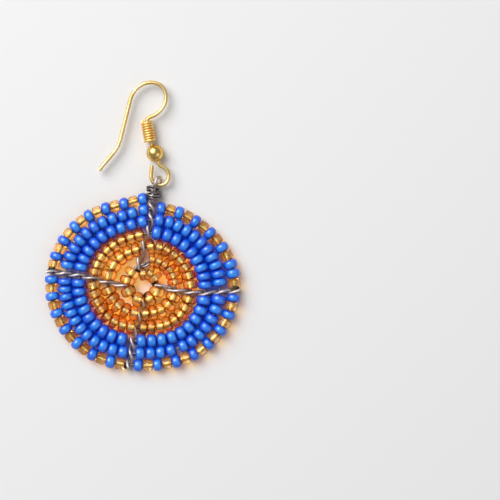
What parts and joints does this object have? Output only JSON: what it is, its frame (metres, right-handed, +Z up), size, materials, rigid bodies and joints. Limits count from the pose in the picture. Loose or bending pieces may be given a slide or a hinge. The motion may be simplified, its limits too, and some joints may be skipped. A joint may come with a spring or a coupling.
{
  "type": "beaded disc earring",
  "caption": "Round spiral disc of blue, amber and gold glass seed beads on steel wire, on a gold-coloured ear hook with a ball and a wire coil, lying face up.",
  "frame": {"origin": "middle of the bounding box on the surface that the earring lies on", "axes": "+Y from the disc up to the hook's arch, +X across the disc to the right, +Z up out of the disc's face"},
  "size_m": [0.0349, 0.0516, 0.003],
  "materials": {
    "amber_bead_glass": "clear amber glass beads",
    "blue_bead_glass": "opaque glossy blue glass beads",
    "edge_bead_glass": "opaque blue and clear pale gold glass beads in turn",
    "spoke_steel": "drawn steel wire",
    "dark_steel": "steel wire, darkened between its wraps",
    "hook_plating": "pale gold-coloured plating, polished",
    "coil_plating": "gold-coloured plating, polished",
    "ball_plating": "gold-coloured plating, mirror polished"
  },
  "bodies": {
    "root": {"amber_rows": "amber_bead_glass", "blue_rows": "blue_bead_glass", "edge_row": "edge_bead_glass", "spoke_top": "spoke_steel", "spoke_right": "spoke_steel", "spoke_bottom": "spoke_steel", "spoke_left": "spoke_steel", "loop_wrap": "dark_steel", "ear_wire": "hook_plating", "hook_coil": "coil_plating", "hook_ball": "ball_plating"}
  },
  "joints": []
}
